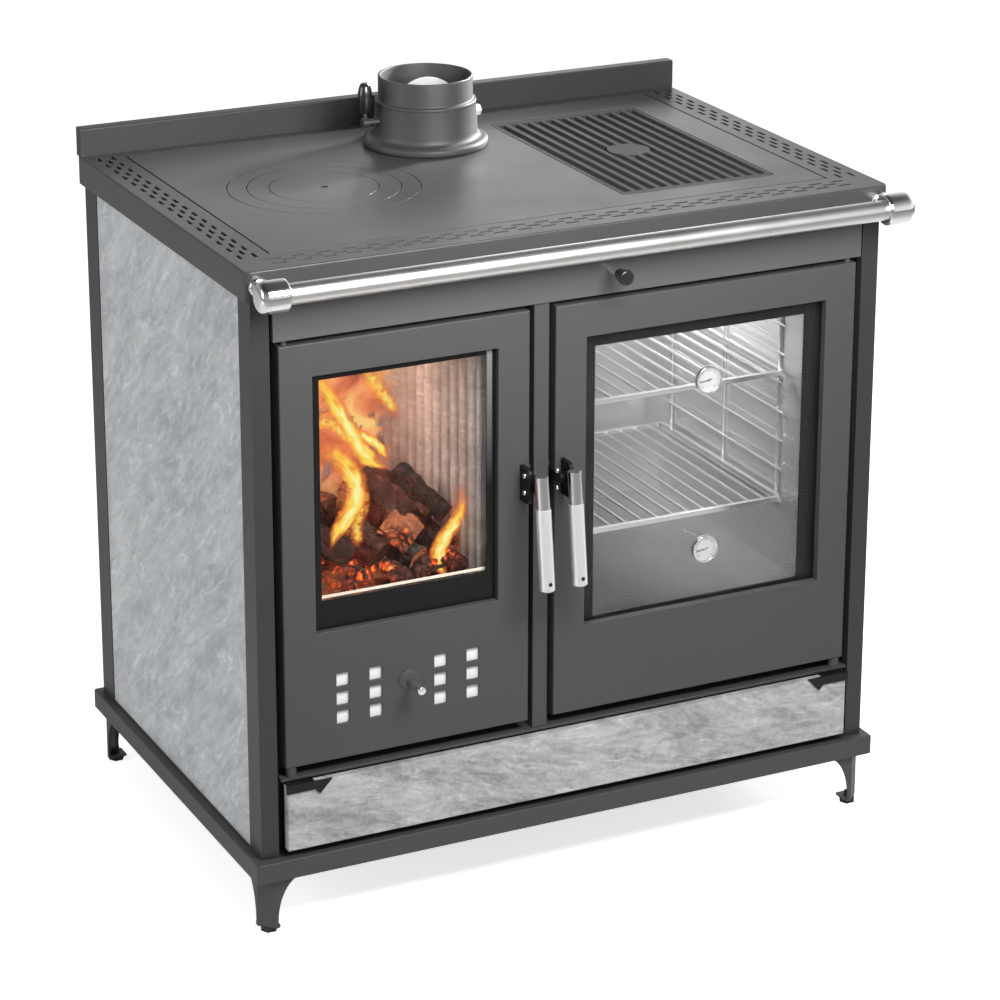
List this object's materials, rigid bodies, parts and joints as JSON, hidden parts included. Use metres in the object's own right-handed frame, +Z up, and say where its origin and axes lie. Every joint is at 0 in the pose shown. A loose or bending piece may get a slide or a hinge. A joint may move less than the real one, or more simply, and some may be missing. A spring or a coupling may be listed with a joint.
{
  "type": "wood cookstove",
  "caption": "Wood cookstove with a glazed fire door, a glazed oven door, cooking plate with lift-out rings and griddle, flue collar, drawer and towel rail.",
  "frame": {"origin": "on the floor, at the middle of the footprint, rail included", "axes": "+X to the right as seen from the front, +Y towards the back, +Z up"},
  "size_m": [0.884, 0.6543, 0.954],
  "materials": {
    "anthracite": "matt anthracite stove paint",
    "door_paint": "matt anthracite stove paint",
    "hob_steel": "satin grey enamelled steel",
    "cast_plate": "ground cast iron",
    "griddle_iron": "dark cast iron",
    "flue_iron": "painted cast iron",
    "black_iron": "bare cast iron",
    "black_steel": "black paint",
    "soapstone": "honed grey stone",
    "firebrick": "pale vermiculite lining",
    "clear_glass": "clear heat-proof glass",
    "rope": "woven glass rope",
    "chrome": "polished chrome",
    "bright_metal": "bright steel",
    "light_steel": "pale galvanised steel",
    "satin_grip": "satin stainless steel",
    "brushed_rail": "brushed stainless steel",
    "oven_steel": "stainless steel",
    "dial_metal": "bright bezels",
    "black_plastic": "black heat-proof resin",
    "feet": "black"
  },
  "bodies": {
    "carcass": {"plinth": "anthracite", "legs": "anthracite", "levelling_feet": "feet", "front_pillars": "anthracite", "rear_pillars": "anthracite", "side_panels": "anthracite", "side_stones": "soapstone", "back_panel": "anthracite", "front_plate": "anthracite", "centre_stile": "anthracite", "lower_rail": "anthracite", "fascia": "anthracite", "hob_border": "hob_steel", "backsplash": "anthracite", "cooking_plate": "cast_plate", "flue_collar": "flue_iron", "rail_tube": "brushed_rail", "rail_brackets": "chrome", "firebox_shell": "black_steel", "side_linings": "firebrick", "back_lining": "firebrick", "grate": "black_iron", "ash_pan": "black_steel", "oven_liner": "oven_steel", "oven_runners": "bright_metal", "oven_racks": "bright_metal", "smoke_shelf": "black_steel"},
    "outer_ring": {"hotplate_outer_ring": "cast_plate"},
    "inner_ring": {"hotplate_inner_ring": "cast_plate"},
    "disc": {"hotplate_disc": "cast_plate"},
    "griddle": {"griddle": "griddle_iron"},
    "flue_damper": {"flue_damper": "bright_metal", "damper_grip": "black_plastic"},
    "bypass_damper": {"bypass_slider": "bright_metal", "bypass_knob": "black_plastic"},
    "fire_door": {"fire_door_frame": "door_paint", "fire_door_glass": "clear_glass", "fire_glass_border": "black_steel", "fire_door_seal": "rope", "fire_door_pins": "bright_metal", "fire_latch_bracket": "black_steel"},
    "air_valve": {"air_valve_plate": "light_steel", "air_knob": "chrome"},
    "fire_handle": {"fire_lever": "black_steel", "fire_handle_rod": "chrome", "fire_handle_sleeve": "satin_grip"},
    "oven_door": {"oven_door_frame": "door_paint", "oven_door_glass": "clear_glass", "oven_inner_frame": "black_steel", "oven_inner_glass": "clear_glass", "oven_door_seal": "rope", "oven_door_pins": "bright_metal", "oven_dials": "dial_metal", "oven_latch_bracket": "black_steel"},
    "oven_handle": {"oven_lever": "black_steel", "oven_handle_rod": "chrome", "oven_handle_sleeve": "satin_grip"},
    "drawer": {"drawer_box": "black_steel", "drawer_front": "soapstone", "drawer_clips": "black_steel"}
  },
  "joints": [
    {"name": "fire_door_hinge", "type": "hinge", "parent": "carcass", "child": "fire_door", "pos_m": [-0.3877, -0.25025, 0.48975], "axis": [0, 0, -1], "range_deg": [0, 110]},
    {"name": "fire_handle_turn", "type": "hinge", "parent": "fire_door", "child": "fire_handle", "pos_m": [-0.0708, -0.27425, 0.545], "axis": [-1, 0, 0], "range_deg": [0, 35]},
    {"name": "air_valve_slide", "type": "slide", "parent": "fire_door", "child": "air_valve", "axis": [0, 1, 0], "range_m": [0, 0.014]},
    {"name": "oven_door_hinge", "type": "hinge", "parent": "carcass", "child": "oven_door", "pos_m": [0.3877, -0.25025, 0.48975], "axis": [0, 0, 1], "range_deg": [0, 110]},
    {"name": "oven_handle_turn", "type": "hinge", "parent": "oven_door", "child": "oven_handle", "pos_m": [-0.0258, -0.27425, 0.545], "axis": [-1, 0, 0], "range_deg": [0, 35]},
    {"name": "drawer_slide", "type": "slide", "parent": "carcass", "child": "drawer", "axis": [0, -1, 0], "range_m": [0, 0.36]},
    {"name": "flue_damper_turn", "type": "hinge", "parent": "carcass", "child": "flue_damper", "pos_m": [-0.0037, 0.17595, 0.8975], "axis": [1, 0, 0], "range_deg": [0, 90]},
    {"name": "bypass_damper_slide", "type": "slide", "parent": "carcass", "child": "bypass_damper", "axis": [0, -1, 0], "range_m": [0, 0.06]},
    {"name": "outer_ring_lift", "type": "slide", "parent": "carcass", "child": "outer_ring", "axis": [0, 0, 1], "range_m": [0, 0.1]},
    {"name": "inner_ring_lift", "type": "slide", "parent": "outer_ring", "child": "inner_ring", "axis": [0, 0, 1], "range_m": [0, 0.1]},
    {"name": "disc_lift", "type": "slide", "parent": "inner_ring", "child": "disc", "axis": [0, 0, 1], "range_m": [0, 0.1]},
    {"name": "griddle_lift", "type": "slide", "parent": "carcass", "child": "griddle", "axis": [0, 0, 1], "range_m": [0, 0.1]}
  ]
}
